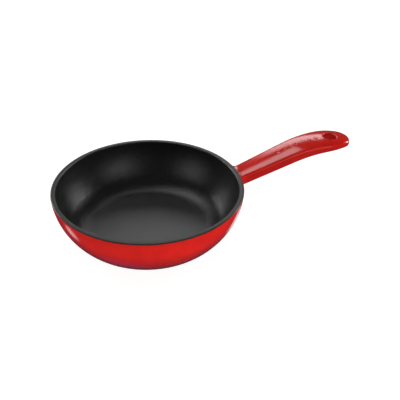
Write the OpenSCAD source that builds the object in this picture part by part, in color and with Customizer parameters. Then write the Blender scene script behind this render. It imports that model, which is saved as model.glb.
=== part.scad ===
// Small enamelled cast iron skillet.
// The origin is the centre of the base, on the surface that the skillet stands on.
// +Z is up and the handle points along +X.

/* [Bowl] */
// Radius of the bowl over the rim
rim_r = 82.5; // [81:0.5:84]
// Height of the rim above the surface
bowl_h = 43.5; // [42:0.5:46]
// Radius of the arc that forms the outside of the wall
wall_arc_r = 60; // [58:0.5:62]
// Lean of the wall just under the rim, in degrees from upright
wall_lean = 6.1; // [5.7:0.1:6.5]
// Radius of the turn from the wall into the base
base_turn_r = 8.5; // [7.5:0.5:10]
// Thickness of the finished wall
wall_t = 4.3; // [4:0.1:4.6]
// Thickness of the finished floor
floor_t = 6; // [5.5:0.1:6.5]
// Radius of the flat cooking floor
floor_r = 49; // [47:0.5:50]
// Rounding of the outer edge of the rim
rim_outer_round = 1.2; // [1.1:0.05:1.3]
// Rounding of the inner edge of the rim
rim_inner_round = 1; // [0.9:0.05:1.1]

/* [Handle] */
// Width of the handle where it leaves the bowl
root_w = 19.8; // [19:0.2:20.6]
// Angle by which each side of the handle widens
taper_deg = 3.5; // [3.2:0.1:3.6]
// Distance from the bowl's axis to the tip
reach = 189.5; // [188:0.5:191]
// Plan radius of the rounded tip
tip_r = 12.6; // [12:0.1:13]
// Plan radius of the shoulders beside the hanging hole
shoulder_r = 43; // [41:1:46]
// Drop from the rim to the middle of the handle's top at the bowl
root_drop = 1; // [0.95:0.05:1.2]
// Angle at which the handle rises from the bowl
rise_deg = 16.8; // [16:0.2:17.6]
// Length of the straight stretch before the arch
straight_len = 49.5; // [48:0.1:51]
// Radius of the arch along the handle's top
arch_r = 103; // [100:0.5:106]
// Radius of the arch along the underside
under_arch_r = 125; // [122:1:128]
// Thickness of the handle along its straight stretch
handle_t = 9.4; // [9:0.1:9.8]
// Radius of the crown across the handle's top
crown_r = 60; // [56:1:70]
// Radius of the finished hanging hole
hole_r = 6; // [5:0.5:6.5]
// Distance from the middle of the hanging hole to the tip
hole_from_tip = 18.3; // [17.5:0.1:19]

/* [Raised beads] */
// Number of lozenge beads along the handle
bead_count = 7; // [5:1:7]
// Spacing of the beads
bead_pitch = 6; // [5.6:0.1:6.2]
// Length of a bead along the handle
bead_len = 4.4; // [3.6:0.2:4.8]
// Width of a bead across the handle
bead_w = 6.4; // [5:0.2:7]
// Height of the beads above the handle
bead_h = 0.5; // [0.3:0.1:0.6]
// Distance from the bowl's axis to the first bead
bead_start = 121; // [119:1:122]

/* [Enamel] */
// Thickness of the fired enamel
coat = 0.5; // [0.4:0.05:0.6]
// Height at which the gloss enamel gives way to the matte base
base_line = 1.2; // [1:0.1:1.6]
// Drop from the top of the rim to the edge of the gloss enamel
gloss_drop = 0.8; // [0.7:0.05:0.85]
// Width of the rim's inner rounding that the interior enamel covers
inner_lip = 0.6; // [0.5:0.05:0.8]
// Middle radius of the groove in the base
groove_r = 38; // [30:1:46]
// Width of the groove in the base
groove_w = 2.4; // [1.5:0.1:3]
// Depth of the groove in the base
groove_depth = 0.25; // [0.15:0.05:0.3]

/* [Hidden] */
$fn = 144;

iron_color = [0.32, 0.32, 0.34];
gloss_color = [0.78, 0.07, 0.06];
matte_color = [0.08, 0.08, 0.085];
rim_color = [0.24, 0.24, 0.23];

// Length that reaches past every face that it cuts
past = 30;
// Where two curves run into each other, one stands this far out of the other, so that they cross
blend = 0.004;
plan_blend = 0.02;
// Angle by which the underside's arch reaches back under the straight stretch
under_overlap = 3;

// A point at a given distance and angle from a centre
function polar(centre, r, angle) = centre + r * [cos(angle), sin(angle)];
// The angle of the direction from one point to another
function heading(from, to) = atan2(to[1] - from[1], to[0] - from[0]);

// Bowl profile, as [distance from the axis, height]: the wall's outer arc, the base turn and the
// rim's outer rounding touch from inside, so their centres lie at the difference of their radii.
rim_turn = [rim_r - rim_outer_round, bowl_h - rim_outer_round];
wall_centre = rim_turn + (wall_arc_r - rim_outer_round) * [-cos(wall_lean), sin(wall_lean)];
base_turn_z = wall_centre[1] - base_turn_r;
base_turn = [
    wall_centre[0] + sqrt(pow(wall_arc_r - base_turn_r, 2) - pow(base_turn_z, 2)),
    base_turn_r
];
base_turn_angle = heading(wall_centre, base_turn);
rim_turn_angle = heading(wall_centre, rim_turn);

// The inner wall runs parallel to the outer one, and a cove joins it to the floor
inner_wall_r = wall_arc_r - wall_t;
cove_dx = floor_r - wall_centre[0];
cove_dz = wall_centre[1] - floor_t;
cove_r = (pow(inner_wall_r, 2) - pow(cove_dx, 2) - pow(cove_dz, 2)) / (2 * (inner_wall_r - cove_dz));
cove_centre = [floor_r, floor_t + cove_r];
cove_angle = heading(wall_centre, cove_centre);
lip_z = bowl_h - rim_inner_round;
lip_reach = inner_wall_r + rim_inner_round;
lip_centre = [
    wall_centre[0] + sqrt(pow(lip_reach, 2) - pow(wall_centre[1] - lip_z, 2)),
    lip_z
];
lip_angle = heading(wall_centre, lip_centre);
rim_inner_r = lip_centre[0] - rim_inner_round;
gloss_top = bowl_h - gloss_drop;

// Handle plan: each side is a straight line, then a shoulder arc, then the tip's arc
taper = tan(taper_deg);
tip_centre_x = reach - tip_r;
side_at_zero = root_w / 2 - taper * rim_r - shoulder_r / cos(taper_deg);
quad_a = 1 + taper * taper;
quad_b = taper * side_at_zero - tip_centre_x;
quad_c = pow(tip_centre_x, 2) + pow(side_at_zero, 2) - pow(shoulder_r - tip_r, 2);
shoulder_x = (-quad_b - sqrt(quad_b * quad_b - quad_a * quad_c)) / quad_a;
shoulder_centre = [shoulder_x, taper * shoulder_x + side_at_zero];
shoulder_angle = 90 + taper_deg;
tip_angle = heading(shoulder_centre, [tip_centre_x, 0]);
plan_start_x = rim_r - 3 * wall_t;

// Handle side view, as [distance from the axis, height]: a straight rise, then the arch
root_point = [rim_r, bowl_h - root_drop];
rise_dir = [cos(rise_deg), sin(rise_deg)];
rise_normal = [-sin(rise_deg), cos(rise_deg)];
arch_start = root_point + straight_len * rise_dir;
arch_centre = arch_start - arch_r * rise_normal;
under_start = arch_start - handle_t * rise_normal;
under_centre = under_start - under_arch_r * rise_normal;
// The straight stretch begins inside the bowl's wall
buried_len = 3 * wall_t;
// The arch is made a little longer than the plan and trimmed by it
arch_end_angle = acos((reach - arch_centre[0]) / arch_r) - 3;
under_end_angle = 60;
slab_depth = 16;
slab_w = 40;

// The hanging hole points at the arch's centre
hole_x = reach - hole_from_tip;
hole_angle = acos((hole_x - arch_centre[0]) / arch_r);

// A rectangle from one corner to the other
module window(low, high) {
    translate(low) square(high - low);
}

// Half of the bowl's solid section without its hollow, drawn in from every face by inset
module bowl_block_section(inset) {
    base_join = polar(wall_centre, wall_arc_r - inset, base_turn_angle);
    rim_join = polar(wall_centre, wall_arc_r - inset, rim_turn_angle);
    intersection() {
        window([0, inset], [rim_r, bowl_h - inset]);
        translate(wall_centre) circle(wall_arc_r - inset);
        union() {
            translate(base_turn) circle(base_turn_r - inset + blend);
            window([0, 0], [base_turn[0], bowl_h]);
            window([0, base_join[1]], [rim_r, bowl_h]);
        }
        union() {
            translate(rim_turn) circle(rim_outer_round - inset + blend);
            window([0, 0], [rim_turn[0], bowl_h]);
            window([0, 0], [rim_r, rim_join[1]]);
        }
    }
}

// Half of the hollow's section, let out on every face by outset and open at the top
module hollow_section(outset) {
    cove_join = polar(wall_centre, inner_wall_r + outset, cove_angle);
    lip_join = polar(wall_centre, inner_wall_r + outset, lip_angle);
    intersection() {
        window([0, floor_t - outset], [rim_r, bowl_h + past]);
        translate(wall_centre) circle(inner_wall_r + outset);
        union() {
            translate(cove_centre) circle(cove_r + outset + blend);
            window([0, 0], [floor_r, bowl_h + past]);
            window([0, cove_join[1]], [rim_r, bowl_h + past]);
        }
    }
    difference() {
        window([0, lip_join[1]], [lip_centre[0], bowl_h + past]);
        translate(lip_centre) circle(rim_inner_round - outset + blend);
    }
}

// Half section of the iron bowl
module iron_section() {
    difference() {
        bowl_block_section(coat);
        hollow_section(coat);
    }
}

// Half section of all the enamel on the bowl
module enamel_section() {
    difference() {
        bowl_block_section(0);
        hollow_section(0);
        iron_section();
    }
}

// Plan of the handle, drawn in by inset
module handle_plan(inset) {
    start_y = root_w / 2 - taper * (rim_r - plan_start_x) - (inset + 2 * plan_blend) / cos(taper_deg);
    end_y = start_y + taper * (reach - plan_start_x);
    shoulder_join = polar(shoulder_centre, shoulder_r, shoulder_angle);
    tip_join = polar(shoulder_centre, shoulder_r, tip_angle);
    intersection() {
        polygon([
            [plan_start_x, -start_y],
            [reach, -end_y],
            [reach, end_y],
            [plan_start_x, start_y]
        ]);
        union() {
            window([plan_start_x, -end_y], [shoulder_join[0], end_y]);
            intersection_for(side = [-1, 1])
                translate([shoulder_centre[0], side * shoulder_centre[1]])
                    circle(shoulder_r - inset - plan_blend);
        }
        union() {
            window([plan_start_x, -end_y], [tip_join[0], end_y]);
            translate([tip_centre_x, 0]) circle(tip_r - inset);
        }
    }
}

// Section across a slab with a crowned top, as [distance from the arch's centre, width]
module crown_section(inset) {
    intersection() {
        translate([arch_r - crown_r, 0]) circle(crown_r - inset);
        window([arch_r - slab_depth, -slab_w / 2], [arch_r + past, slab_w / 2]);
    }
}

// Crowned slab that follows the handle's top: the arch and the straight stretch meet at the
// plane through the arch's axis that stands square to the rise
module crowned_slab(inset) {
    translate([arch_centre[0], 0, arch_centre[1]])
        rotate([90, 0, 0])
            rotate([0, 0, 90 + rise_deg]) {
                mirror([0, 1, 0])
                    rotate_extrude(angle = 90 + rise_deg - arch_end_angle)
                        crown_section(inset);
                rotate([-90, 0, 0])
                    linear_extrude(straight_len + buried_len)
                        crown_section(inset);
            }
}

// Everything below the underside of the handle
module below_handle(inset) {
    line_end = under_start + inset * rise_normal;
    line_start = line_end - (straight_len + 2 * buried_len) * rise_dir;
    rotate([90, 0, 0])
        linear_extrude(slab_w + 2, center = true) {
            polygon([
                line_start,
                line_start - past * rise_normal,
                line_end - past * rise_normal,
                line_end
            ]);
            intersection() {
                translate(under_centre) circle(under_arch_r + inset + plan_blend);
                polygon([
                    polar(under_centre, under_arch_r - past, 90 + rise_deg + under_overlap),
                    polar(under_centre, under_arch_r - past, under_end_angle),
                    polar(under_centre, under_arch_r + past, under_end_angle),
                    polar(under_centre, under_arch_r + past, 90 + rise_deg + under_overlap)
                ]);
            }
        }
}

// The handle as one solid from inside the bowl's wall to its tip, drawn in by inset
module handle_bar(inset) {
    difference() {
        intersection() {
            linear_extrude(bowl_h + past) handle_plan(inset);
            crowned_slab(inset);
        }
        below_handle(inset);
    }
}

// The hanging hole, square to the arch
module hanging_hole(r) {
    translate([arch_centre[0], 0, arch_centre[1]])
        rotate([0, 90 - hole_angle, 0])
            translate([0, 0, arch_r - slab_depth])
                cylinder(h = slab_depth + past, r = r);
}

// Row of raised lozenge beads along the middle of the handle's top
module beads() {
    intersection() {
        for (i = [0 : bead_count - 1])
            translate([bead_start + i * bead_pitch, 0, 0])
                linear_extrude(bowl_h + past)
                    polygon([[-bead_len / 2, 0], [0, bead_w / 2], [bead_len / 2, 0], [0, -bead_w / 2]]);
        difference() {
            crowned_slab(-bead_h);
            crowned_slab(coat / 2);
        }
    }
}

// The bowl as a solid block, drawn in by the thickness of the enamel
module bowl_block() {
    rotate_extrude() bowl_block_section(coat);
}

module bowl_casting() {
    color(iron_color) rotate_extrude() iron_section();
}

module handle_casting() {
    color(iron_color)
        difference() {
            handle_bar(coat);
            hanging_hole(hole_r + coat);
            bowl_block();
        }
}

module bowl_enamel() {
    color(gloss_color)
        difference() {
            rotate_extrude()
                intersection() {
                    difference() {
                        bowl_block_section(0);
                        bowl_block_section(coat);
                    }
                    window([0, base_line], [rim_r + 1, gloss_top]);
                }
            handle_bar(0);
        }
}

module handle_enamel() {
    color(gloss_color)
        difference() {
            union() {
                difference() {
                    handle_bar(0);
                    handle_bar(coat);
                }
                beads();
                // Lining of the hanging hole
                intersection() {
                    handle_bar(0);
                    hanging_hole(hole_r + coat);
                }
            }
            hanging_hole(hole_r);
            bowl_block();
        }
}

module interior_enamel() {
    color(matte_color)
        rotate_extrude()
            intersection() {
                difference() {
                    hollow_section(coat);
                    hollow_section(0);
                }
                window([0, 0], [rim_inner_r + inner_lip, bowl_h]);
            }
}

module rim_enamel() {
    color(rim_color)
        rotate_extrude()
            intersection() {
                enamel_section();
                union() {
                    window([rim_inner_r + inner_lip, lip_z - 1], [rim_turn[0], bowl_h + 1]);
                    window([rim_turn[0] - coat, gloss_top], [rim_r + 1, bowl_h + 1]);
                }
            }
}

module base_enamel() {
    color(matte_color)
        rotate_extrude()
            difference() {
                intersection() {
                    difference() {
                        bowl_block_section(0);
                        bowl_block_section(coat);
                    }
                    window([0, -1], [rim_r, base_line]);
                }
                window([groove_r - groove_w / 2, -1], [groove_r + groove_w / 2, groove_depth]);
            }
}

bowl_casting();
handle_casting();
bowl_enamel();
handle_enamel();
interior_enamel();
rim_enamel();
base_enamel();
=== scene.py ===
"""Small enamelled cast iron skillet, modelled round its CAD frame. All lengths are in metres."""
import math

import bmesh
import bpy
from mathutils import Matrix, Vector
from mathutils.kdtree import KDTree


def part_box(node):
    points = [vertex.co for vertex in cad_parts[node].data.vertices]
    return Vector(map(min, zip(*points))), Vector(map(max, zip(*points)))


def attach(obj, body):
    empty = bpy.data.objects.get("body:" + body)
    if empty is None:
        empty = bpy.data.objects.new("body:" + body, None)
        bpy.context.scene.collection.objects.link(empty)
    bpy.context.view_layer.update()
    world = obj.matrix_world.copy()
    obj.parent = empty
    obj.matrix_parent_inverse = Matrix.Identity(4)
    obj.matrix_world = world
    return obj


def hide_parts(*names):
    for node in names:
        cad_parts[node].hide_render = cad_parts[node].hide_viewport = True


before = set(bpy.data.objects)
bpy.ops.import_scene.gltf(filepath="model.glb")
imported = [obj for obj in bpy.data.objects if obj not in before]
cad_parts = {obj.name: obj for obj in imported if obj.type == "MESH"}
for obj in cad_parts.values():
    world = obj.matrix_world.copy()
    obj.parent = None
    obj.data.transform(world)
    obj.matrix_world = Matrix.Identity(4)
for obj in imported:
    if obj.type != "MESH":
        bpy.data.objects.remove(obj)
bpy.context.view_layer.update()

MM = 0.001

# Sizes that the frame gives
RIM_R = -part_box("bowl_enamel")[0].y
BOWL_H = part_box("rim_enamel")[1].z
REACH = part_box("handle_enamel")[1].x
BASE_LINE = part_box("bowl_enamel")[0].z

# Bowl section, as in the CAD model
COAT = 0.5 * MM
WALL_ARC_R = 60 * MM
WALL_LEAN = math.radians(6.1)
BASE_TURN_R = 8.5 * MM
WALL_T = 4.3 * MM
FLOOR_T = 6 * MM
FLOOR_R = 49 * MM
RIM_OUTER_ROUND = 1.2 * MM
RIM_INNER_ROUND = 1 * MM
GLOSS_DROP = 0.8 * MM
INNER_LIP = 0.6 * MM
GROOVE_R = 38 * MM
GROOVE_W = 2.4 * MM
GROOVE_DEPTH = 0.25 * MM

# Handle, as in the CAD model
ROOT_W = 19.8 * MM
TAPER = math.radians(3.5)
TIP_R = 12.6 * MM
SHOULDER_R = 43 * MM
ROOT_DROP = 1 * MM
RISE = math.radians(16.8)
STRAIGHT_LEN = 49.5 * MM
ARCH_R = 103 * MM
UNDER_ARCH_R = 125 * MM
HANDLE_T = 9.4 * MM
CROWN_R = 60 * MM
HOLE_R = 6 * MM
HOLE_FROM_TIP = 18.3 * MM

# Rounded edges and cast fillets, which the CAD model leaves sharp
TOP_EDGE_R = 1.6 * MM
UNDER_EDGE_R = 1.6 * MM
HOLE_EDGE_R = 0.9 * MM
EDGE_BAND = 3.2 * MM
FILLET_R = 1.8 * MM

# How far past the rim the fillet runs along the handle, and how far a fillet on the rim leans towards it
FILLET_RUN = 1.6 * FILLET_R
LIP_LEAN = 0.3

# Raised beads. A bead's own rim lies a little below the handle's top, and its root deeper still.
BEAD_COUNT = 7
BEAD_START = 121 * MM
BEAD_PITCH = 6 * MM
BEAD_LEN = 4.4 * MM
BEAD_W = 6.4 * MM
BEAD_H = 0.38 * MM
BEAD_RIM_DEPTH = 0.02 * MM
BEAD_ROOT_DEPTH = 0.3 * MM

# Painted shade darkens the enamel's colour over this depth down the handle's flank, and over this length
# past the bowl's rim
FLANK_DEPTH = 2.2 * MM
FLANK_RUN_IN = 6 * MM

# Mesh counts. The border of the notch left in the wall has as many points as the loop round the handle
# has on the wall, 2 * (LIP_ROWS + NOTCH_WALL_ROWS + NOTCH_COLUMNS) + 1, so no count there changes alone.
AROUND = 360
BASE_ROWS = 7
WALL_ROWS = 29
LIP_ROWS = 5
NOTCH_WALL_ROWS = 10
NOTCH_COLUMNS = 13
LIP_ENTRIES = 4
PATCH_ROWS = 6
ACROSS = 24
EDGE_ROWS = 5
SIDE_ROWS = 8
FILLET_ROWS = 8
ALONG = 64
TIP_STEPS = 34
RING_ROWS = 6
BEAD_STEPS = 20
FLOOR_STEPS = 24
COVE_STEPS = 16
INNER_WALL_STEPS = 26
INNER_LIP_STEPS = 5
RIM_STEPS = 4
BASE_TURN_STEPS = 5
GROOVE_STEPS = 8
BASE_RING_STEPS = 8
BASE_MIDDLE_STEPS = 14
BASE_BACK_STEPS = 10

# Points nearer than this are one point
WELD_DISTANCE = 1e-7
# Rounds of halving, and of stepping towards the wall, that leave no error worth having
HALVINGS = 48
WALL_ROUNDS = 12


def polar(centre, radius, angle):
    return (centre[0] + radius * math.cos(angle), centre[1] + radius * math.sin(angle))


def heading(start, end):
    return math.atan2(end[1] - start[1], end[0] - start[0])


def steps(first, last, count):
    """count + 1 evenly spaced values from first to last."""
    return [first + (last - first) * i / count for i in range(count + 1)]


def mix(a, b, share):
    return tuple(p + (q - p) * share for p, q in zip(a, b))


# ---------------------------------------------------------------- bowl section
# Points of the section are (distance from the axis, height).
rim_turn = (RIM_R - RIM_OUTER_ROUND, BOWL_H - RIM_OUTER_ROUND)
wall_centre = polar(rim_turn, WALL_ARC_R - RIM_OUTER_ROUND, math.pi - WALL_LEAN)
base_rise = wall_centre[1] - BASE_TURN_R
base_turn = (
    wall_centre[0] + math.sqrt((WALL_ARC_R - BASE_TURN_R) ** 2 - base_rise**2),
    BASE_TURN_R,
)
base_join_angle = heading(wall_centre, base_turn)
rim_join_angle = heading(wall_centre, rim_turn)
gloss_edge_angle = math.asin(1 - GLOSS_DROP / RIM_OUTER_ROUND)
base_start_angle = -math.pi / 2 + math.acos((base_turn[1] - BASE_LINE) / BASE_TURN_R)

inner_wall_r = WALL_ARC_R - WALL_T
cove_drop = wall_centre[1] - FLOOR_T
cove_r = (inner_wall_r**2 - (FLOOR_R - wall_centre[0]) ** 2 - cove_drop**2) / (
    2 * (inner_wall_r - cove_drop)
)
cove_centre = (FLOOR_R, FLOOR_T + cove_r)
cove_angle = heading(wall_centre, cove_centre)
lip_z = BOWL_H - RIM_INNER_ROUND
lip_span = math.sqrt((inner_wall_r + RIM_INNER_ROUND) ** 2 - (wall_centre[1] - lip_z) ** 2)
lip_centre = (wall_centre[0] + lip_span, lip_z)
lip_angle = heading(wall_centre, lip_centre)
interior_edge_angle = math.acos((INNER_LIP - RIM_INNER_ROUND) / RIM_INNER_ROUND)


def arc(centre, radius, first, last, count):
    return [polar(centre, radius, a) for a in steps(first, last, count)]


def outside_point(row, inset):
    """The outside of the bowl. Row 0 is at the base line, and the last row at the gloss enamel's edge."""
    base_r = BASE_TURN_R - inset
    lip_r = RIM_OUTER_ROUND - inset
    if row < BASE_ROWS:
        angle = base_start_angle + (base_join_angle - base_start_angle) * row / BASE_ROWS
        return polar(base_turn, base_r, angle)
    row -= BASE_ROWS
    if row < WALL_ROWS:
        angle = base_join_angle + (rim_join_angle - base_join_angle) * row / WALL_ROWS
        return polar(wall_centre, WALL_ARC_R - inset, angle)
    row -= WALL_ROWS
    angle = rim_join_angle + (gloss_edge_angle - rim_join_angle) * row / LIP_ROWS
    return polar(rim_turn, lip_r, angle)


OUTSIDE_ROWS = BASE_ROWS + WALL_ROWS + LIP_ROWS


def outside_row(height, inset):
    """The row, not always a whole number, at which the outside of the bowl has this height."""
    low, high = BASE_ROWS / 2, float(OUTSIDE_ROWS)
    for _ in range(HALVINGS):
        middle = (low + high) / 2
        if outside_point(middle, inset)[1] < height:
            low = middle
        else:
            high = middle
    return (low + high) / 2


def spin(section, angle):
    return (section[0] * math.cos(angle), section[0] * math.sin(angle), section[1])


# ---------------------------------------------------------------- handle shape
root_point = (RIM_R, BOWL_H - ROOT_DROP)
rise_dir = (math.cos(RISE), math.sin(RISE))
rise_normal = (-math.sin(RISE), math.cos(RISE))
arch_start = tuple(p + STRAIGHT_LEN * d for p, d in zip(root_point, rise_dir))
arch_centre = tuple(p - ARCH_R * n for p, n in zip(arch_start, rise_normal))
under_start = tuple(p - HANDLE_T * n for p, n in zip(arch_start, rise_normal))
under_centre = tuple(p - UNDER_ARCH_R * n for p, n in zip(under_start, rise_normal))

tip_centre_x = REACH - TIP_R
taper = math.tan(TAPER)
side_at_zero = ROOT_W / 2 - taper * RIM_R - SHOULDER_R / math.cos(TAPER)
quad_a = 1 + taper**2
quad_b = taper * side_at_zero - tip_centre_x
quad_c = tip_centre_x**2 + side_at_zero**2 - (SHOULDER_R - TIP_R) ** 2
shoulder_x = (-quad_b - math.sqrt(quad_b**2 - quad_a * quad_c)) / quad_a
shoulder_centre = (shoulder_x, taper * shoulder_x + side_at_zero)
shoulder_angle = math.pi / 2 + TAPER
tip_angle = heading(shoulder_centre, (tip_centre_x, 0))
shoulder_start_x = polar(shoulder_centre, SHOULDER_R, shoulder_angle)[0]

hole_angle = math.acos((REACH - HOLE_FROM_TIP - arch_centre[0]) / ARCH_R)
hole_axis = (math.cos(hole_angle), math.sin(hole_angle))
# The handle's mesh changes from straight columns to rings round the hole at this distance
ring_start_x = REACH - HOLE_FROM_TIP - 2 * HOLE_R


def top_height(x, y, inset=0.0):
    """Height of the handle's crowned top over a point of its plan."""
    crown = CROWN_R - inset
    sag = CROWN_R - math.sqrt(crown**2 - y**2)
    radius = ARCH_R - sag
    if x < arch_centre[0] - radius * math.sin(RISE):
        along = (x - root_point[0]) / math.cos(RISE)
        return root_point[1] + along * math.sin(RISE) - sag / math.cos(RISE)
    return arch_centre[1] + math.sqrt(radius**2 - (x - arch_centre[0]) ** 2)


def under_height(x, inset=0.0):
    """Height of the handle's underside."""
    if x < under_start[0] - inset * math.sin(RISE):
        return under_start[1] + inset / math.cos(RISE) + (x - under_start[0]) * math.tan(RISE)
    radius = UNDER_ARCH_R + inset
    return under_centre[1] + math.sqrt(radius**2 - (x - under_centre[0]) ** 2)


def side_outline():
    """Stations along the +Y side of the plan from the fillet to the tip, as (point, outward normal)."""
    stations = []
    normal = (-math.sin(TAPER), math.cos(TAPER))
    for x in steps(RIM_R + FILLET_RUN, ring_start_x, ALONG):
        stations.append(((x, ROOT_W / 2 + taper * (x - RIM_R)), normal))
    line_len = (shoulder_start_x - ring_start_x) / math.cos(TAPER)
    shoulder_len = SHOULDER_R * (shoulder_angle - tip_angle)
    tip_len = TIP_R * tip_angle
    total = line_len + shoulder_len + tip_len
    for i in range(1, TIP_STEPS + 1):
        along = total * i / TIP_STEPS
        if along < line_len:
            x = ring_start_x + along * math.cos(TAPER)
            stations.append(((x, ROOT_W / 2 + taper * (x - RIM_R)), normal))
        elif along < line_len + shoulder_len:
            angle = shoulder_angle - (along - line_len) / SHOULDER_R
            point = polar(shoulder_centre, SHOULDER_R, angle)
            stations.append((point, (math.cos(angle), math.sin(angle))))
        else:
            angle = tip_angle * (total - along) / tip_len
            point = polar((tip_centre_x, 0), TIP_R, angle)
            stations.append((point, (math.cos(angle), math.sin(angle))))
    return stations


OUTLINE = side_outline()


def edge_profile(radius, inset):
    """Rounding of an edge from its vertical side inwards, as (distance in from the side, drop)."""
    r = radius - inset
    rows = [(r * (1 - math.cos(a)), r * (1 - math.sin(a))) for a in steps(0, math.pi / 2, EDGE_ROWS)]
    return rows + [(EDGE_BAND - inset, 0.0)]


def edge_column(station, side, inset):
    """One column of the band round the handle, as (x, y, z).

    It starts on the top, goes over the edge and down the side, and ends on the underside.
    """
    point, normal = station

    def plan(depth):
        return (
            point[0] - (inset + depth) * normal[0],
            side * (point[1] - (inset + depth) * normal[1]),
        )

    column = []
    for depth, drop in reversed(edge_profile(TOP_EDGE_R, inset)):
        x, y = plan(depth)
        column.append((x, y, top_height(x, y, inset) - drop))
    under = []
    for depth, drop in edge_profile(UNDER_EDGE_R, inset):
        x, y = plan(depth)
        under.append((x, y, under_height(x, inset) + drop))
    column += [mix(column[-1], under[0], s) for s in steps(0, 1, SIDE_ROWS)[1:-1]]
    return column + under


def section_loop(station, inset):
    """A closed loop round the handle: the +Y column, the underside, the -Y column and the top."""
    left = edge_column(station, 1, inset)
    right = edge_column(station, -1, inset)
    under, top = [], []
    for share in steps(0, 1, ACROSS)[1:-1]:
        x, y, _ = mix(left[-1], right[-1], share)
        under.append((x, y, under_height(x, inset)))
        x, y, _ = mix(right[0], left[0], share)
        top.append((x, y, top_height(x, y, inset)))
    return left + under + right[::-1] + top


COLUMN = EDGE_ROWS + 2 + SIDE_ROWS - 1 + EDGE_ROWS + 2
LOOP = 2 * COLUMN + 2 * (ACROSS - 1)


def loop_normals(loop):
    """Outward normals of a loop in the plane across the handle, as (y, z)."""
    normals = []
    for i in range(len(loop)):
        before, after = loop[i - 1], loop[(i + 1) % len(loop)]
        dy, dz = after[1] - before[1], after[2] - before[2]
        length = math.hypot(dy, dz)
        normals.append((-dz / length, dy / length) if length else (0.0, 1.0))
    return normals


def on_lip(i):
    """Whether this entry of a loop ends at the gloss enamel's edge on the rim, and not on the wall."""
    return i <= LIP_ENTRIES or i >= LOOP - (ACROSS - 1) - LIP_ENTRIES - 1


def wall_radius(height, inset):
    """Distance of the outside of the bowl from its axis at this height."""
    if height > rim_turn[1]:
        lip_r = RIM_OUTER_ROUND - inset
        return rim_turn[0] + math.sqrt(max(lip_r**2 - (height - rim_turn[1]) ** 2, 0.0))
    return wall_centre[0] + math.sqrt((WALL_ARC_R - inset) ** 2 - (wall_centre[1] - height) ** 2)


def meet_wall(point, inset):
    """Where the line of the handle through this point runs into the wall."""
    x, y, z = point
    at_x, at_y, at_z = x, y, z
    for _ in range(WALL_ROUNDS):
        at_x = math.sqrt(wall_radius(min(at_z, BOWL_H - RIM_OUTER_ROUND), inset) ** 2 - at_y**2)
        at_z = z - (x - at_x) * math.tan(RISE)
        at_y = y - math.copysign((x - at_x) * taper, y) * min(1.0, abs(y) / (ROOT_W / 2))
    return (at_x, at_y, at_z)


def root_rows(inset):
    """Seats of the cast fillet on the bowl, as (angle, row), and the rows from there to the handle."""
    loop = section_loop(OUTLINE[0], inset)
    normals = loop_normals(loop)
    seats, corners = [], []
    edge = outside_point(OUTSIDE_ROWS, inset)
    for i, point in enumerate(loop):
        corner = meet_wall(point, inset)
        y = corner[1] + FILLET_R * normals[i][0]
        if on_lip(i):
            angle = math.asin(y / edge[0])
            row = float(OUTSIDE_ROWS)
            start = spin(edge, angle)
            x, y, _ = mix(start, point, LIP_LEAN)
            on_slope = point[2] - (point[0] - x) * math.tan(RISE)
            corner = (x, y, min(on_slope, edge[1]))
        else:
            z = corner[2] + FILLET_R * normals[i][1]
            row = outside_row(z, inset)
            angle = math.asin(y / outside_point(row, inset)[0])
        seats.append((angle, row))
        corners.append(corner)
    rows = []
    for t in steps(0, 1, FILLET_ROWS):
        ring = []
        for seat, corner, point in zip(seats, corners, loop):
            start = spin(outside_point(seat[1], inset), seat[0])
            ring.append(mix(mix(start, corner, t), mix(corner, point, t), t))
        rows.append(ring)
    return seats, rows


def notch_border():
    """Border of the opening left in the wall for the handle, as (angle, row), from lip to lip."""
    bottom = OUTSIDE_ROWS - LIP_ROWS - NOTCH_WALL_ROWS
    step = 2 * math.pi / AROUND
    side = NOTCH_COLUMNS * step
    border = [(side, float(row)) for row in range(OUTSIDE_ROWS, bottom - 1, -1)]
    border += [(c * step, float(bottom)) for c in range(NOTCH_COLUMNS - 1, -NOTCH_COLUMNS, -1)]
    border += [(-side, float(row)) for row in range(bottom, OUTSIDE_ROWS + 1)]
    return border


# ---------------------------------------------------------------- mesh helpers
class Sheet:
    """Rows of points joined into quads. The same calls with another inset give the matching inner layer."""

    def __init__(self):
        self.points = []
        self.faces = []

    def rows(self, rows, closed=False):
        """Join neighbouring rows, and the ends of each row where they are closed."""
        start = len(self.points)
        width = len(rows[0])
        for row in rows:
            self.points += row
        for r in range(len(rows) - 1):
            for c in range(width if closed else width - 1):
                d = (c + 1) % width
                a = start + r * width
                self.faces.append((a + c, a + d, a + width + d, a + width + c))


def weld_map(points):
    """For each point, the first point that lies in the same place."""
    tree = KDTree(len(points))
    for i, point in enumerate(points):
        tree.insert(point, i)
    tree.balance()
    return [min(found[1] for found in tree.find_range(point, WELD_DISTANCE)) for point in points]


def new_object(name, points, faces):
    """A smooth-shaded object. Faces that have shrunk to a line, and doubled faces, are left out."""
    mesh = bpy.data.meshes.new(name)
    shape = bmesh.new()
    verts = {}
    for face in faces:
        for i in face:
            if i not in verts:
                verts[i] = shape.verts.new(points[i])
    for face in faces:
        corners = []
        for i in face:
            if verts[i] not in corners:
                corners.append(verts[i])
        if len(corners) > 2 and not shape.faces.get(corners):
            shape.faces.new(corners)
    bmesh.ops.recalc_face_normals(shape, faces=shape.faces[:])
    for face in shape.faces:
        face.smooth = True
    shape.to_mesh(mesh)
    shape.free()
    piece = bpy.data.objects.new(name, mesh)
    bpy.context.scene.collection.objects.link(piece)
    return piece


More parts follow.
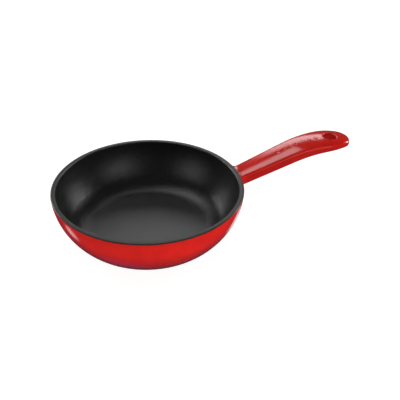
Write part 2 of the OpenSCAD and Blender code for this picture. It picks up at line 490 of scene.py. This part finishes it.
def closed_coat(name, build):
    """A closed solid between the sheet that build(0) draws and the one that build(COAT) draws."""
    outer, inner = build(0.0), build(COAT)
    weld = weld_map(outer.points)
    count = len(outer.points)
    faces = []
    for face in outer.faces:
        ring = [weld[i] for i in face]
        ring = [i for n, i in enumerate(ring) if i != ring[n - 1]]
        if len(ring) > 2:
            faces.append(ring)
    edges = {}
    for face in faces:
        for n, i in enumerate(face):
            key = tuple(sorted((face[n - 1], i)))
            edges[key] = edges.get(key, 0) + 1
    back = [[i + count for i in reversed(face)] for face in faces]
    border = [(a, b, b + count, a + count) for (a, b), uses in edges.items() if uses == 1]
    return new_object(name, outer.points + inner.points, faces + back + border)


def welded_object(name, sheet):
    weld = weld_map(sheet.points)
    return new_object(name, sheet.points, [[weld[i] for i in face] for face in sheet.faces])


def lathe(name, section):
    """Revolve a closed section, given as (distance from the axis, height)."""
    sheet = Sheet()
    angles = steps(0, 2 * math.pi, AROUND)[:-1]
    rows = [[spin(point, a) for a in angles] for point in section]
    sheet.rows(rows + rows[:1], closed=True)
    return welded_object(name, sheet)


# ---------------------------------------------------------------- gloss enamel on bowl and handle
def bowl_wall(sheet, inset):
    """The outside wall, with its notch for the handle."""
    angles = steps(0, 2 * math.pi, AROUND)[:-1]
    start = len(sheet.points)
    for row in range(OUTSIDE_ROWS + 1):
        sheet.points += [spin(outside_point(row, inset), a) for a in angles]
    bottom = OUTSIDE_ROWS - LIP_ROWS - NOTCH_WALL_ROWS
    for row in range(OUTSIDE_ROWS):
        for c in range(AROUND):
            if row >= bottom and (c < NOTCH_COLUMNS or c >= AROUND - NOTCH_COLUMNS):
                continue
            d = (c + 1) % AROUND
            a = start + row * AROUND
            sheet.faces.append((a + c, a + d, a + AROUND + d, a + AROUND + c))


def handle_root(sheet, inset):
    """The wall round the handle's root, and the cast fillet that runs out into the handle."""
    seats, rows = root_rows(inset)
    border = notch_border()
    near = seats[LIP_ENTRIES : LOOP - (ACROSS - 1) - LIP_ENTRIES]
    patch = []
    for share in steps(0, 1, PATCH_ROWS):
        row = [mix(a, b, share) for a, b in zip(border, near)]
        patch.append([spin(outside_point(r, inset), a) for a, r in row])
    sheet.rows(patch)
    sheet.rows(rows, closed=True)


def hole_middle(height):
    """Distance of the hole's middle from the bowl's axis at this height."""
    top = arch_centre[1] + ARCH_R * hole_axis[1]
    return REACH - HOLE_FROM_TIP + (height - top) * hole_axis[0] / hole_axis[1]


def hole_ring(angles, radius, depth, inset, height):
    """A ring of the hanging hole, at a depth below the top or above the underside."""
    ring = []
    for angle in angles:
        x = hole_middle(height(REACH - HOLE_FROM_TIP, 0.0, inset)) + radius * math.cos(angle)
        y = radius * math.sin(angle)
        z = height(x, y, inset) + depth
        x = hole_middle(z) + radius * math.cos(angle)
        ring.append((x, y, height(x, y, inset) + depth))
    return ring


def under_at(x, y, inset):
    return under_height(x, inset)


def handle_grip(sheet, inset):
    """The handle from the fillet to its tip, with the hanging hole through it."""
    sheet.rows([section_loop(station, inset) for station in OUTLINE[: ALONG + 1]], closed=True)
    tip = OUTLINE[ALONG:]
    columns = [edge_column(station, 1, inset) for station in tip]
    columns += [edge_column(station, -1, inset) for station in reversed(tip[:-1])]
    sheet.rows(columns)
    last = section_loop(OUTLINE[ALONG], inset)
    faces = (
        (0, last[LOOP - ACROSS + 1 :], top_height, -1),
        (COLUMN - 1, last[COLUMN : COLUMN + ACROSS - 1][::-1], under_at, 1),
    )
    rims = []
    for entry, chord, height, into in faces:
        border = [column[entry] for column in columns] + chord
        middle = hole_middle(border[0][2])
        angles = [math.atan2(p[1], p[0] - middle) for p in border]
        edge = HOLE_EDGE_R - inset
        outer_ring = hole_ring(angles, HOLE_R + HOLE_EDGE_R, 0.0, inset, height)
        rings = []
        for share in steps(0, 1, RING_ROWS):
            flat = [mix(a, b, share) for a, b in zip(border, outer_ring)]
            rings.append([(p[0], p[1], height(p[0], p[1], inset)) for p in flat])
        for turn in steps(math.pi / 2, 0, EDGE_ROWS)[1:]:
            radius = HOLE_R + inset + edge * (1 - math.cos(turn))
            depth = into * edge * (1 - math.sin(turn))
            rings.append(hole_ring(angles, radius, depth, inset, height))
        sheet.rows(rings, closed=True)
        rims.append(rings[-1])
    wall = [[mix(a, b, share) for a, b in zip(*rims)] for share in steps(0, 1, SIDE_ROWS)]
    sheet.rows(wall, closed=True)


def gloss_sheet(inset):
    sheet = Sheet()
    bowl_wall(sheet, inset)
    handle_root(sheet, inset)
    handle_grip(sheet, inset)
    return sheet


def mark_painted_flank_shade(piece):
    """Store how far each point lies down the handle's flank, as the mask for painted shade: 0 on the top, 1
    on the side and underside.
    """
    layer = piece.data.attributes.new("painted_flank_shade", "FLOAT", "POINT")
    for vertex, item in zip(piece.data.vertices, layer.data):
        x, y, z = vertex.co
        beyond = min(max((x - RIM_R) / FLANK_RUN_IN, 0.0), 1.0)
        if beyond > 0:
            item.value = beyond * min(max((top_height(x, y) - z) / FLANK_DEPTH, 0.0), 1.0)


def grid_border(grid):
    """The points round the edge of a square grid of rows, in order."""
    far_side = [row[-1] for row in grid[1:]]
    near_side = [row[0] for row in grid[-2:0:-1]]
    return grid[0] + far_side + grid[-1][-2::-1] + near_side


def raised_beads():
    """Lozenge beads along the middle of the handle, each a smooth bump that runs out into the surface."""
    sheet = Sheet()
    for b in range(BEAD_COUNT):
        middle = BEAD_START + b * BEAD_PITCH
        top, under = [], []
        for u in steps(-1, 1, BEAD_STEPS):
            top_row, under_row = [], []
            for v in steps(-1, 1, BEAD_STEPS):
                x = middle + (u + v) / 2 * BEAD_LEN / 2
                y = (v - u) / 2 * BEAD_W / 2
                swell = ((1 - u**4) * (1 - v**4)) ** 0.8
                surface = top_height(x, y)
                top_row.append((x, y, surface - BEAD_RIM_DEPTH + BEAD_H * swell))
                under_row.append((x, y, surface - BEAD_ROOT_DEPTH))
            top.append(top_row)
            under.append(under_row)
        sheet.rows(top)
        sheet.rows(under)
        sheet.rows([grid_border(top), grid_border(under)], closed=True)
    return welded_object("handle_beads", sheet)


# ---------------------------------------------------------------- other enamel, as closed sections
def flat_run(first, last, height, count):
    """Points of a level stretch of a section."""
    return [(r, height) for r in steps(first, last, count)]


def interior_section():
    """The cooking surface, from the middle of the floor up to the rim."""
    def layer(out):
        points = flat_run(0, FLOOR_R, FLOOR_T - out, FLOOR_STEPS)
        points += arc(cove_centre, cove_r + out, -math.pi / 2, cove_angle, COVE_STEPS)[1:]
        points += arc(wall_centre, inner_wall_r + out, cove_angle, lip_angle, INNER_WALL_STEPS)[1:]
        first = lip_angle + math.pi
        points += arc(lip_centre, RIM_INNER_ROUND - out, first, interior_edge_angle, INNER_LIP_STEPS)[1:]
        return points

    return layer(0.0) + layer(COAT)[::-1]


def rim_section():
    """The grey band over the rim, between the interior enamel and the gloss enamel."""
    def layer(inset):
        points = arc(lip_centre, RIM_INNER_ROUND - inset, interior_edge_angle, math.pi / 2, RIM_STEPS)
        points += flat_run(lip_centre[0], rim_turn[0], BOWL_H - inset, RIM_STEPS)[1:]
        points += arc(rim_turn, RIM_OUTER_ROUND - inset, math.pi / 2, gloss_edge_angle, RIM_STEPS)[1:]
        return points

    return layer(0.0) + layer(COAT)[::-1]


def base_section():
    """The enamel under the base, with its ring groove."""
    half = GROOVE_W / 2
    points = arc(base_turn, BASE_TURN_R, base_start_angle, -math.pi / 2, BASE_TURN_STEPS)
    points += flat_run(base_turn[0], GROOVE_R + half, 0.0, BASE_RING_STEPS)[1:]
    for share in steps(0, 1, GROOVE_STEPS)[1:-1]:
        depth = GROOVE_DEPTH * math.sin(math.pi * share) ** 0.5
        points.append((GROOVE_R + half - share * GROOVE_W, depth))
    points += flat_run(GROOVE_R - half, 0, 0.0, BASE_MIDDLE_STEPS)
    points += flat_run(0, base_turn[0], COAT, BASE_BACK_STEPS)
    points += arc(base_turn, BASE_TURN_R - COAT, -math.pi / 2, base_start_angle, BASE_TURN_STEPS)[1:]
    return points


gloss = closed_coat("gloss_coat", gloss_sheet)
mark_painted_flank_shade(gloss)
beads = raised_beads()
interior = lathe("interior_coat", interior_section())
rim = lathe("rim_coat", rim_section())
base = lathe("base_coat", base_section())


# ---------------------------------------------------------------- materials
# Share of the colour left by painted shade on the handle's flank and at the foot of the bowl, and the
# heights over which the foot's painted shade fades out
FLANK_SHADE = 0.66
FOOT_SHADE = 0.28
FOOT_LOW = 2 * MM
FOOT_HIGH = 28 * MM


def new_material(name):
    """A material with its node tree, its shader and a coordinate node."""
    material = bpy.data.materials.new(name)
    material.use_nodes = True
    tree = material.node_tree
    shader = tree.nodes["Principled BSDF"]
    place = tree.nodes.new("ShaderNodeTexCoord")
    return material, tree, shader, place


def noise(tree, place, scale, detail=3.0, roughness=0.55):
    """Noise in object space. The scale is in features per metre."""
    node = tree.nodes.new("ShaderNodeTexNoise")
    node.inputs["Scale"].default_value = scale
    node.inputs["Detail"].default_value = detail
    node.inputs["Roughness"].default_value = roughness
    tree.links.new(place.outputs["Object"], node.inputs["Vector"])
    return node.outputs["Fac"]


def ramp(tree, source, stops):
    """Colour ramp. Each stop is (position, colour)."""
    node = tree.nodes.new("ShaderNodeValToRGB")
    elements = node.color_ramp.elements
    while len(elements) < len(stops):
        elements.new(0.5)
    for element, (position, colour) in zip(elements, stops):
        element.position = position
        element.color = (*colour, 1)
    tree.links.new(source, node.inputs["Fac"])
    return node.outputs["Color"]


def span(tree, source, low, high, to_low, to_high):
    """Map low to high onto to_low to to_high, and hold the ends."""
    node = tree.nodes.new("ShaderNodeMapRange")
    limits = {"From Min": low, "From Max": high, "To Min": to_low, "To Max": to_high}
    for socket, value in limits.items():
        node.inputs[socket].default_value = value
    tree.links.new(source, node.inputs["Value"])
    return node.outputs["Result"]


def bump(tree, shader, layers, socket="Normal"):
    """Stack bumps. Each layer is (height source, depth in metres)."""
    normal = None
    for source, depth in layers:
        node = tree.nodes.new("ShaderNodeBump")
        node.inputs["Distance"].default_value = depth
        tree.links.new(source, node.inputs["Height"])
        if normal:
            tree.links.new(normal, node.inputs["Normal"])
        normal = node.outputs["Normal"]
    tree.links.new(normal, shader.inputs[socket])


def darken(tree, colour, share):
    """Scale a colour by a grey share."""
    node = tree.nodes.new("ShaderNodeVectorMath")
    node.operation = "SCALE"
    tree.links.new(colour, node.inputs[0])
    tree.links.new(share, node.inputs["Scale"])
    return node.outputs["Vector"]


def gloss_enamel():
    """Cherry red, with a clear coat and slight waves, and with painted shade on the handle's flanks and at
    the bowl's foot.
    """
    material, tree, shader, place = new_material("gloss_enamel")
    cloud = noise(tree, place, 45, 3)
    colour = ramp(tree, cloud, [(0.3, (0.72, 0.008, 0.004)), (0.7, (0.86, 0.013, 0.005))])
    # Painted shade on the handle's side and underside, by the stored mask
    painted_flank_shade = tree.nodes.new("ShaderNodeAttribute")
    painted_flank_shade.attribute_name = "painted_flank_shade"
    colour = darken(tree, colour, span(tree, painted_flank_shade.outputs["Fac"], 0, 1, 1, FLANK_SHADE))
    # Painted shade, darkest at the foot of the bowl and fading out with height
    split = tree.nodes.new("ShaderNodeSeparateXYZ")
    tree.links.new(place.outputs["Object"], split.inputs["Vector"])
    colour = darken(tree, colour, span(tree, split.outputs["Z"], FOOT_LOW, FOOT_HIGH, FOOT_SHADE, 1))
    tree.links.new(colour, shader.inputs["Base Color"])
    tree.links.new(span(tree, noise(tree, place, 300), 0.3, 0.7, 0.14, 0.2), shader.inputs["Roughness"])
    shader.inputs["IOR"].default_value = 1.45
    shader.inputs["Specular IOR Level"].default_value = 0.4
    shader.inputs["Coat Weight"].default_value = 0.9
    shader.inputs["Coat Roughness"].default_value = 0.14
    shader.inputs["Coat IOR"].default_value = 1.45
    waves = noise(tree, place, 160, 2)
    peel = noise(tree, place, 900, 2)
    bump(tree, shader, [(waves, 0.00003), (peel, 0.000004)])
    bump(tree, shader, [(waves, 0.00003), (peel, 0.000002)], "Coat Normal")
    return material


def matte_enamel():
    """Black with a fine tooth, on the cooking surface."""
    material, tree, shader, place = new_material("interior_enamel")
    speck = noise(tree, place, 900, 4, 0.65)
    colour = ramp(tree, speck, [(0.3, (0.004, 0.004, 0.0045)), (0.75, (0.014, 0.014, 0.0145))])
    tree.links.new(colour, shader.inputs["Base Color"])
    tree.links.new(span(tree, speck, 0.3, 0.7, 0.28, 0.38), shader.inputs["Roughness"])
    shader.inputs["Specular IOR Level"].default_value = 0.75
    bump(tree, shader, [(noise(tree, place, 700, 4, 0.7), 0.0002), (noise(tree, place, 1800, 3), 0.00005)])
    return material


def rim_enamel():
    """Dark grey satin, slightly green."""
    material, tree, shader, place = new_material("rim_enamel")
    cloud = noise(tree, place, 500, 3)
    colour = ramp(tree, cloud, [(0.3, (0.02, 0.022, 0.018)), (0.7, (0.036, 0.039, 0.032))])
    tree.links.new(colour, shader.inputs["Base Color"])
    tree.links.new(span(tree, cloud, 0.3, 0.7, 0.34, 0.5), shader.inputs["Roughness"])
    bump(tree, shader, [(noise(tree, place, 1200, 3), 0.00008)])
    return material


def base_enamel():
    """Black and dull, under the base."""
    material, tree, shader, place = new_material("base_enamel")
    speck = noise(tree, place, 1100, 3)
    colour = ramp(tree, speck, [(0.3, (0.012, 0.012, 0.012)), (0.7, (0.024, 0.024, 0.025))])
    tree.links.new(colour, shader.inputs["Base Color"])
    tree.links.new(span(tree, speck, 0.3, 0.7, 0.5, 0.7), shader.inputs["Roughness"])
    bump(tree, shader, [(noise(tree, place, 900, 3), 0.0001)])
    return material


def cast_iron():
    """Bare iron. It lies under the enamel and shows nowhere."""
    material, tree, shader, place = new_material("cast_iron")
    grain = noise(tree, place, 700, 4)
    colour = ramp(tree, grain, [(0.3, (0.05, 0.05, 0.052)), (0.7, (0.11, 0.11, 0.115))])
    tree.links.new(colour, shader.inputs["Base Color"])
    shader.inputs["Metallic"].default_value = 0.8
    tree.links.new(span(tree, grain, 0.3, 0.7, 0.5, 0.7), shader.inputs["Roughness"])
    bump(tree, shader, [(grain, 0.0002)])
    return material


def dress(piece, material, slot, *nodes):
    """Give a piece its material and body, and hide the CAD nodes that it replaces."""
    piece.data.materials.append(material)
    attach(piece, "root")
    if nodes:
        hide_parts(*nodes)


red = gloss_enamel()
dress(gloss, red, "gloss_enamel", "bowl_enamel", "handle_enamel")
dress(beads, red, "gloss_enamel")
dress(interior, matte_enamel(), "interior_enamel", "interior_enamel")
dress(rim, rim_enamel(), "rim_enamel", "rim_enamel")
dress(base, base_enamel(), "base_enamel", "base_enamel")
iron = cast_iron()
for node in ("bowl_casting", "handle_casting"):
    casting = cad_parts[node]
    casting.data.materials.clear()
    casting.data.materials.append(iron)


# ---------------------------------------------------------------- camera
CAMERA_AZIMUTH = math.radians(20.28)
CAMERA_HEIGHT = math.radians(33.45)
CAMERA_DISTANCE = 0.850
CAMERA_LENS = 89.685
SENSOR_WIDTH = 36
# How far the camera stands to the right of the line through the rim's middle, and above it
CAMERA_RIGHT = 44.714 * MM
CAMERA_UP = -10.364 * MM


def studio(right, away, up):
    """A direction or place given as seen from the camera: to the right, away from it, and up."""
    turn = CAMERA_AZIMUTH
    x = right * math.cos(turn) + away * math.sin(turn)
    y = away * math.cos(turn) - right * math.sin(turn)
    return Vector((x, y, up))


def add_camera():
    """Looks at the bowl from the front, with the handle going away to the right."""
    ahead = studio(0, math.cos(CAMERA_HEIGHT), -math.sin(CAMERA_HEIGHT))
    right = studio(1, 0, 0)
    up = right.cross(ahead)
    data = bpy.data.cameras.new("camera")
    data.sensor_width = SENSOR_WIDTH
    data.lens = CAMERA_LENS
    camera = bpy.data.objects.new("camera", data)
    bpy.context.scene.collection.objects.link(camera)
    matrix = Matrix((right, up, -ahead)).transposed().to_4x4()
    rim_middle = Vector((0, 0, BOWL_H))
    matrix.translation = rim_middle - CAMERA_DISTANCE * ahead + CAMERA_RIGHT * right + CAMERA_UP * up
    camera.matrix_world = matrix
    bpy.context.scene.camera = camera


add_camera()


# ---------------------------------------------------------------- studio
FLOOR_SIZE = 20.0
FLOOR_GAP = 0.2 * MM
FLOOR_GLOW = 0.93
LIGHT_AIM = Vector((0.03, 0, 0.03))

# Each panel is (direction, half angle, colour)
PANELS = (
    ((-0.60, 0.37, -0.71), math.radians(5.5), (1.35, 1.15, 1.3)),
    ((0.285, 0.713, -0.641), math.radians(4.5), (1.5, 1.25, 1.35)),
    ((-0.2, 0.27, -0.93), math.radians(12), (0.045, 0.015, 0.08)),
)
# A panel is full strength out to this share of its half angle
PANEL_CORE = 0.6
# The world's brightness from straight down, at 0, to straight up, at 1
SKY = (
    (0.0, (0.04, 0.035, 0.05)),
    (0.3, (0.02, 0.02, 0.02)),
    (0.55, (0.07, 0.07, 0.07)),
    (1.0, (0.05, 0.05, 0.05)),
)
# Each light is (name, place, size, radiance)
LIGHTS = (
    ("back_softbox", (0.08, 1.1, 0.6), (0.56, 0.34), 2.4),
    ("overhead_softbox", (-0.28, 0.62, 0.98), (0.62, 0.32), 2.5),
    ("key_softbox", (0.75, -0.8, 0.5), (0.7, 0.4), 1.4),
    ("front_left_strip", (-0.95, -0.5, 0.4), (0.5, 0.36), 1.7),
    ("right_back_strip", (1.03, 0.5, 0.28), (0.3, 0.45), 10.0),
    ("left_back_strip", (-0.95, 0.65, 0.26), (0.3, 0.45), 13.0),
)
# Fills light the enamel's colour without a reflection of their own
FILLS = (
    ("right_fill", (1.15, -0.6, 0.12), (0.4, 0.2), 14.0),
    ("ceiling_fill", (0.1, 0.1, 1.25), (1.0, 1.0), 1.2),
)


def add_floor():
    """Pale floor, just below the base. It lights the skillet, which doesn't mirror it."""
    shape = bmesh.new()
    bmesh.ops.create_grid(shape, x_segments=8, y_segments=8, size=FLOOR_SIZE)
    mesh = bpy.data.meshes.new("floor")
    shape.to_mesh(mesh)
    shape.free()
    floor = bpy.data.objects.new("floor", mesh)
    bpy.context.scene.collection.objects.link(floor)
    material, tree, shader, place = new_material("floor")
    colour = ramp(tree, noise(tree, place, 3, 2), [(0.3, (0.3, 0.3, 0.3)), (0.7, (0.32, 0.32, 0.32))])
    tree.links.new(colour, shader.inputs["Base Color"])
    shader.inputs["Roughness"].default_value = 0.9
    shader.inputs["Specular IOR Level"].default_value = 0.0
    shader.inputs["Emission Color"].default_value = (1, 1, 1, 1)
    shader.inputs["Emission Strength"].default_value = FLOOR_GLOW
    mesh.materials.append(material)
    floor.location.z = -FLOOR_GAP
    floor.visible_glossy = False


def add_light(name, place, size, radiance):
    """Soft rectangular light, aimed at the skillet."""
    data = bpy.data.lights.new(name, "AREA")
    data.shape = "RECTANGLE"
    data.size, data.size_y = size
    data.energy = radiance * math.pi * size[0] * size[1]
    light = bpy.data.objects.new(name, data)
    light.location = studio(*place)
    light.rotation_euler = (LIGHT_AIM - light.location).to_track_quat("-Z", "Y").to_euler()
    bpy.context.scene.collection.objects.link(light)
    return light


def add_world():
    """Dim studio, with soft panels low down that the sides of the bowl mirror."""
    world = bpy.data.worlds.new("studio")
    world.use_nodes = True
    tree = world.node_tree
    place = tree.nodes.new("ShaderNodeTexCoord")
    split = tree.nodes.new("ShaderNodeSeparateXYZ")
    tree.links.new(place.outputs["Generated"], split.inputs["Vector"])
    colour = ramp(tree, span(tree, split.outputs["Z"], -1, 1, 0, 1), SKY)
    for aim, wide, level in PANELS:
        dot = tree.nodes.new("ShaderNodeVectorMath")
        dot.operation = "DOT_PRODUCT"
        dot.inputs[1].default_value = studio(*aim).normalized()
        tree.links.new(place.outputs["Generated"], dot.inputs[0])
        share = span(tree, dot.outputs["Value"], math.cos(wide), math.cos(wide * PANEL_CORE), 0, 1)
        inside = ramp(tree, share, [(0.0, (0, 0, 0)), (1.0, level)])
        add = tree.nodes.new("ShaderNodeVectorMath")
        add.operation = "ADD"
        tree.links.new(colour, add.inputs[0])
        tree.links.new(inside, add.inputs[1])
        colour = add.outputs["Vector"]
    tree.links.new(colour, tree.nodes["Background"].inputs["Color"])
    tree.nodes["Background"].inputs["Strength"].default_value = 1.0
    bpy.context.scene.world = world


add_floor()
add_world()
for light in LIGHTS:
    add_light(*light)
for fill in FILLS:
    add_light(*fill).visible_glossy = False
bpy.context.scene.view_settings.view_transform = "Standard"
